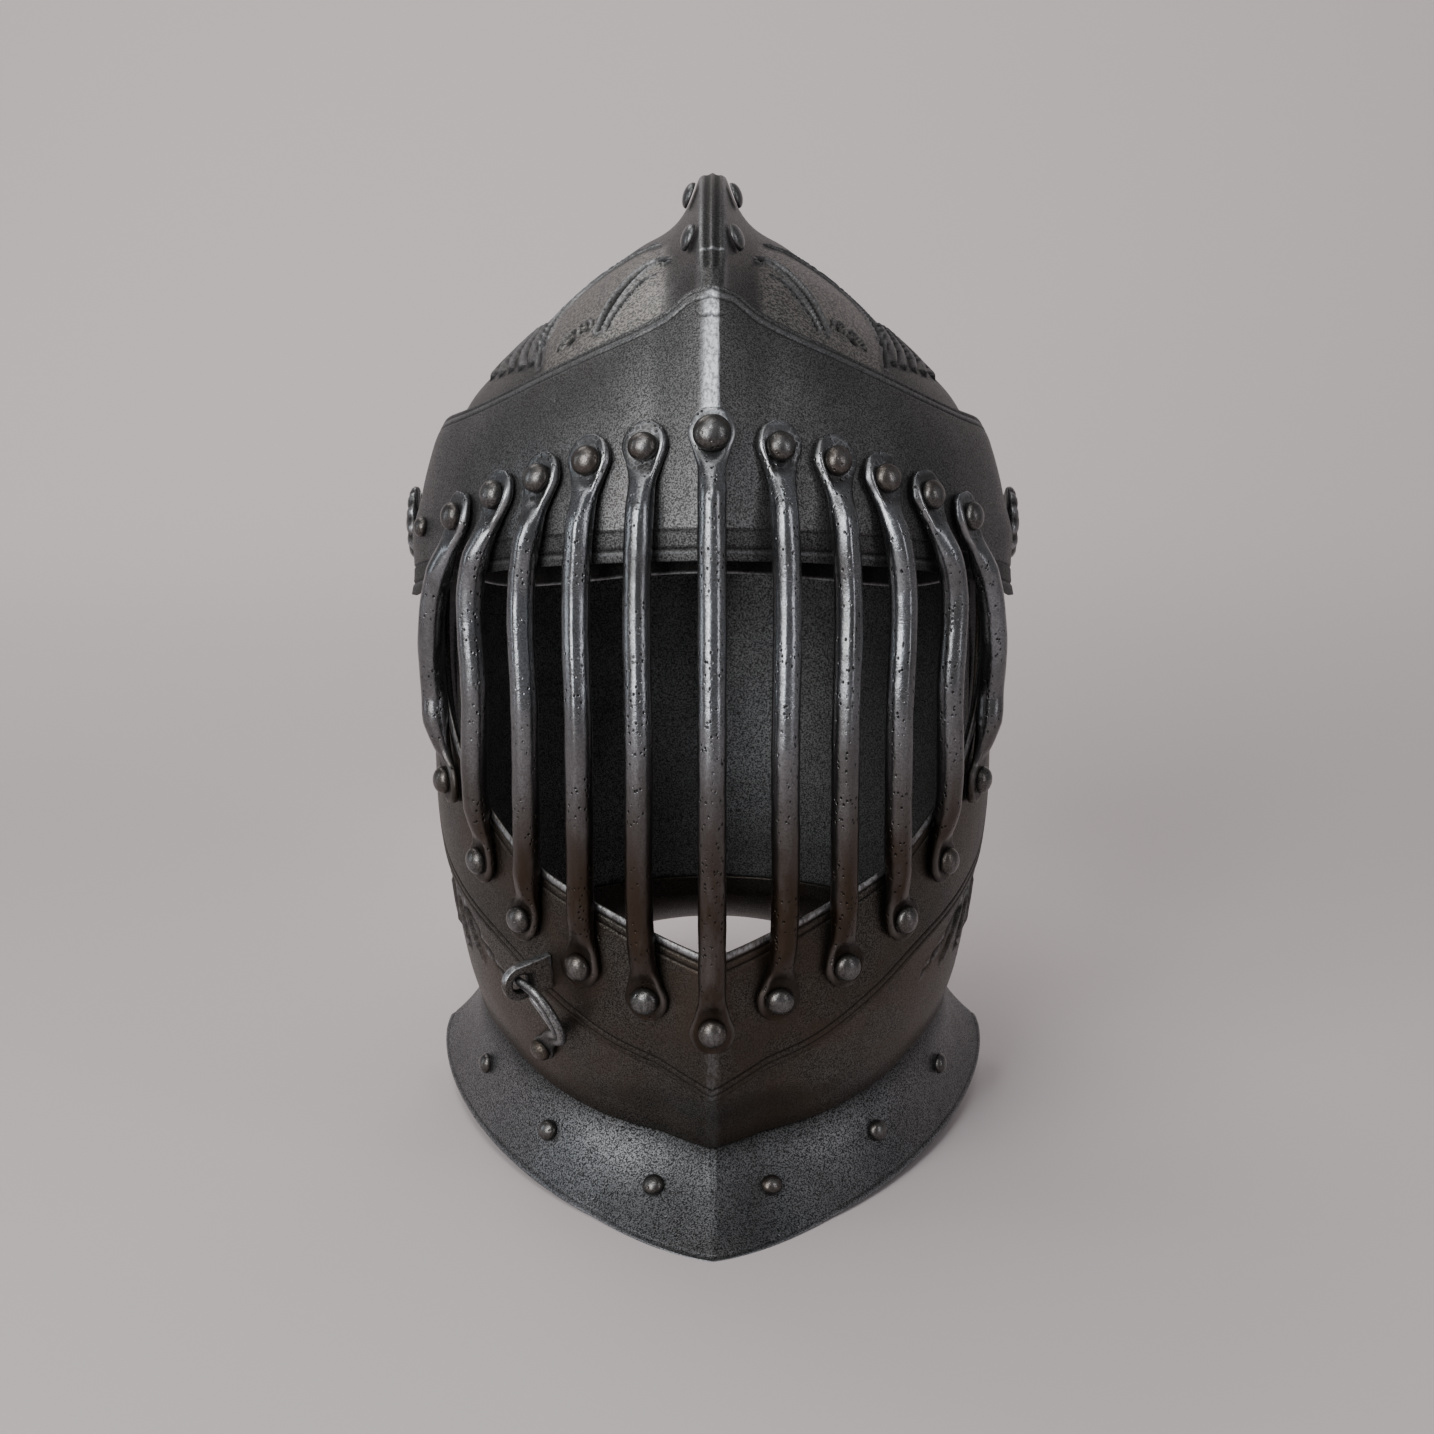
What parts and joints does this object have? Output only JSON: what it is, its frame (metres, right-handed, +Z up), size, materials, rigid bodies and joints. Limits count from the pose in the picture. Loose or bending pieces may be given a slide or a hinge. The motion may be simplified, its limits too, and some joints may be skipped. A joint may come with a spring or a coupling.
{
  "type": "tournament helmet",
  "caption": "Barred close helmet of plate steel with a combed skull, a visor of riveted face bars, a swinging bevor, a flared gorget and a swivel hook.",
  "frame": {"origin": "on the surface the helmet stands on, below the pivots of the visor", "axes": "+Z up, -Y the way the face looks, +X the wearer's left, along the pivots"},
  "size_m": [0.2314, 0.3057, 0.3591],
  "materials": {
    "blackened_steel": "blackened, grainy and worn, with bright edges",
    "browned_steel": "darkened steel with a brown tarnish",
    "bright_steel": "glossy forged steel with dark pits"
  },
  "bodies": {
    "skull": {"comb_rivet_left_1": "blackened_steel", "comb_rivet_left_2": "blackened_steel", "comb_rivet_right_1": "blackened_steel", "comb_rivet_right_2": "blackened_steel", "gorget_rear": "browned_steel", "pivot_left": "blackened_steel", "pivot_right": "blackened_steel", "skull": "blackened_steel"},
    "bevor": {"gorget_front": "blackened_steel", "gorget_rivet_left_1": "blackened_steel", "gorget_rivet_left_2": "blackened_steel", "gorget_rivet_left_3": "blackened_steel", "gorget_rivet_right_1": "blackened_steel", "gorget_rivet_right_2": "blackened_steel", "gorget_rivet_right_3": "blackened_steel", "hook_rivet": "browned_steel", "lower_bevor": "browned_steel"},
    "visor": {"bar_centre": "bright_steel", "bar_left_1": "bright_steel", "bar_left_2": "bright_steel", "bar_left_3": "bright_steel", "bar_left_4": "bright_steel", "bar_left_5": "bright_steel", "bar_right_1": "bright_steel", "bar_right_2": "bright_steel", "bar_right_3": "bright_steel", "bar_right_4": "bright_steel", "bar_right_5": "bright_steel", "bar_rivet_bottom_centre": "bright_steel", "bar_rivet_bottom_left_1": "bright_steel", "bar_rivet_bottom_left_2": "bright_steel", "bar_rivet_bottom_left_3": "bright_steel", "bar_rivet_bottom_left_4": "bright_steel", "bar_rivet_bottom_left_5": "bright_steel", "bar_rivet_bottom_right_1": "bright_steel", "bar_rivet_bottom_right_2": "bright_steel", "bar_rivet_bottom_right_3": "bright_steel", "bar_rivet_bottom_right_4": "bright_steel", "bar_rivet_bottom_right_5": "bright_steel", "bar_rivet_top_centre": "bright_steel", "bar_rivet_top_left_1": "bright_steel", "bar_rivet_top_left_2": "bright_steel", "bar_rivet_top_left_3": "bright_steel", "bar_rivet_top_left_4": "bright_steel", "bar_rivet_top_left_5": "bright_steel", "bar_rivet_top_right_1": "bright_steel", "bar_rivet_top_right_2": "bright_steel", "bar_rivet_top_right_3": "bright_steel", "bar_rivet_top_right_4": "bright_steel", "bar_rivet_top_right_5": "bright_steel", "brow_plate": "blackened_steel", "side_rivet": "blackened_steel", "upper_bevor": "browned_steel", "visor_lug": "browned_steel"},
    "hook": {"hook": "browned_steel"}
  },
  "joints": [
    {"name": "bevor_hinge", "type": "hinge", "parent": "skull", "child": "bevor", "pos_m": [0, 0, 0.2313], "axis": [-1, 0, 0], "range_deg": [0, 35]},
    {"name": "visor_hinge", "type": "hinge", "parent": "bevor", "child": "visor", "pos_m": [0, 0, 0.2313], "axis": [-1, 0, 0], "range_deg": [0, 40]},
    {"name": "hook_swivel", "type": "hinge", "parent": "bevor", "child": "hook", "pos_m": [-0.05951, -0.08838, 0.0569], "axis": [0.6668, 0.6607, 0.3447], "range_deg": [0, 55]}
  ]
}
